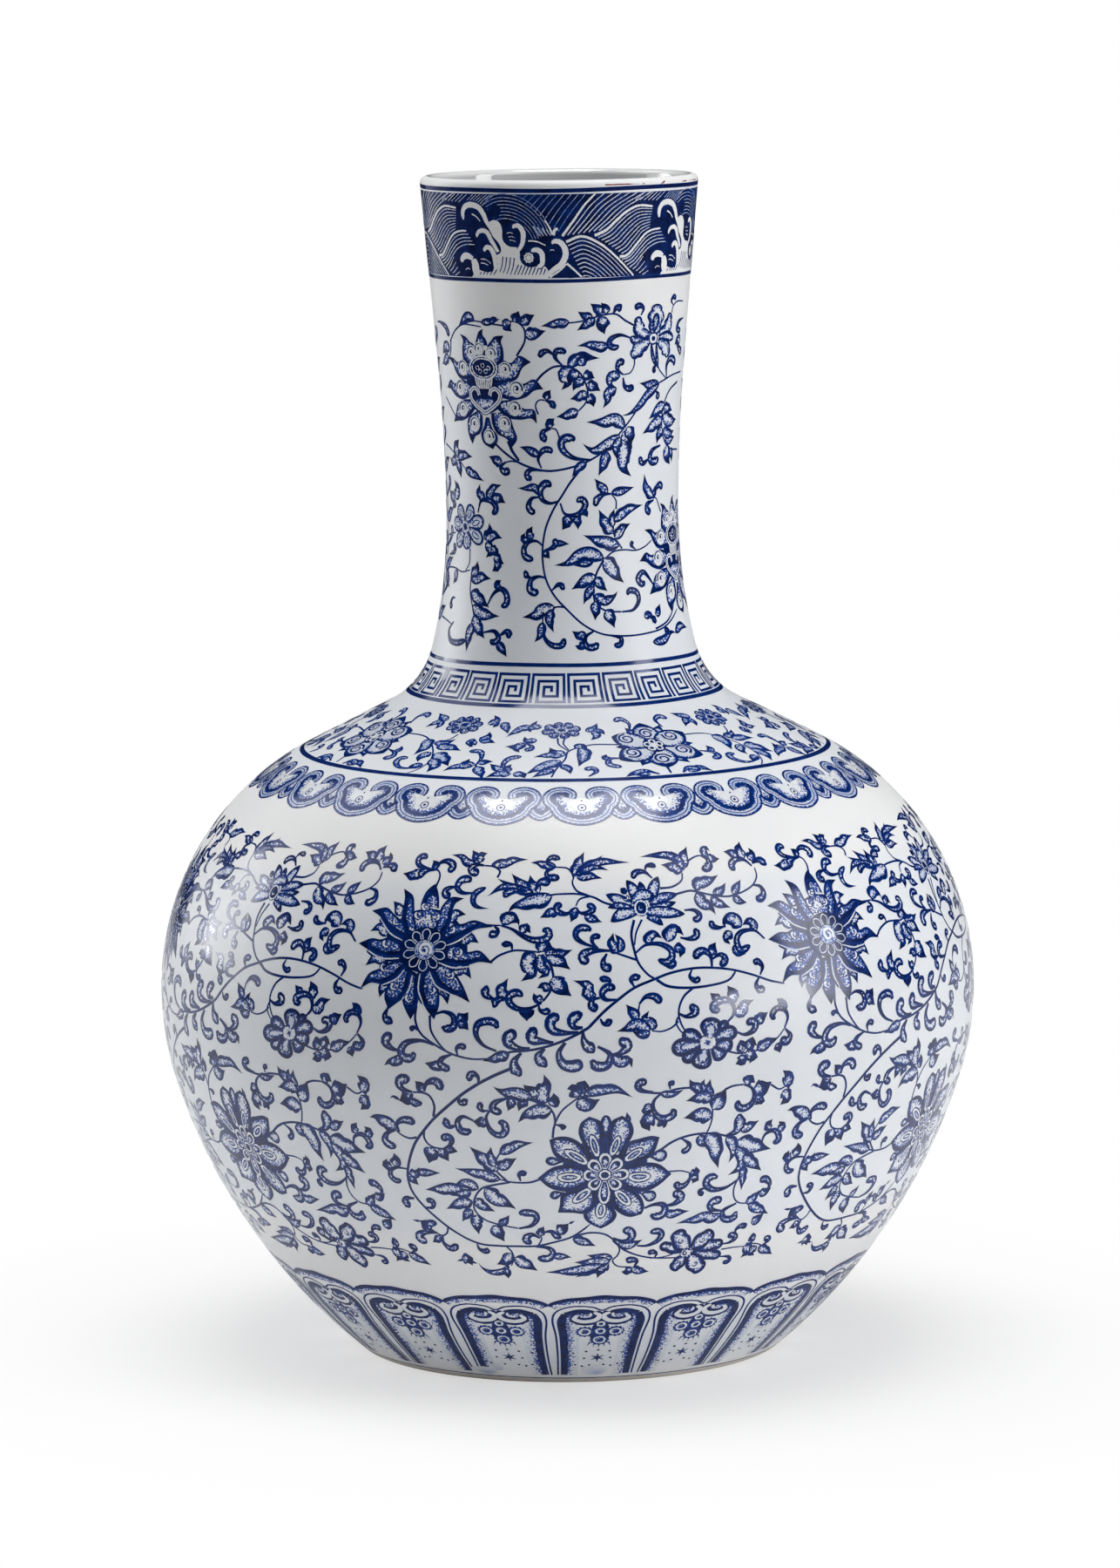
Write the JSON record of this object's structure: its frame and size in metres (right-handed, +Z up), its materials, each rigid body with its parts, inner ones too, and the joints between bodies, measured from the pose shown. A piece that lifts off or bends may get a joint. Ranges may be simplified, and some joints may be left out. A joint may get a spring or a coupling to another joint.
{
  "type": "porcelain vase",
  "caption": "Globular porcelain vase with a tall waisted neck, round lip and turned foot ring, banded with blue printed scroll decoration; holds flowers or stands for display.",
  "frame": {"origin": "middle of the foot ring's bearing face, on the surface that the vase stands on", "axes": "+Z up along the axis of revolution, -Y towards the viewer of the picture"},
  "size_m": [0.2924, 0.2924, 0.42],
  "materials": {
    "porcelain": "glossy clear glaze over white porcelain",
    "foot_clay": "glazed porcelain with an unglazed bearing ring",
    "slip": "fired luting slip",
    "blue_print": "fired cobalt blue transfer print"
  },
  "bodies": {
    "root": {"neck": "porcelain", "upper_body": "porcelain", "lower_body": "porcelain", "foot": "foot_clay", "neck_slip_joint": "slip", "belly_slip_joint": "slip", "foot_slip_joint": "slip", "wave_transfer": "blue_print", "neck_scroll_transfer": "blue_print", "fret_transfer": "blue_print", "shoulder_scroll_transfer": "blue_print", "lappet_transfer": "blue_print", "belly_scroll_transfer": "blue_print", "petal_transfer": "blue_print"}
  },
  "joints": []
}
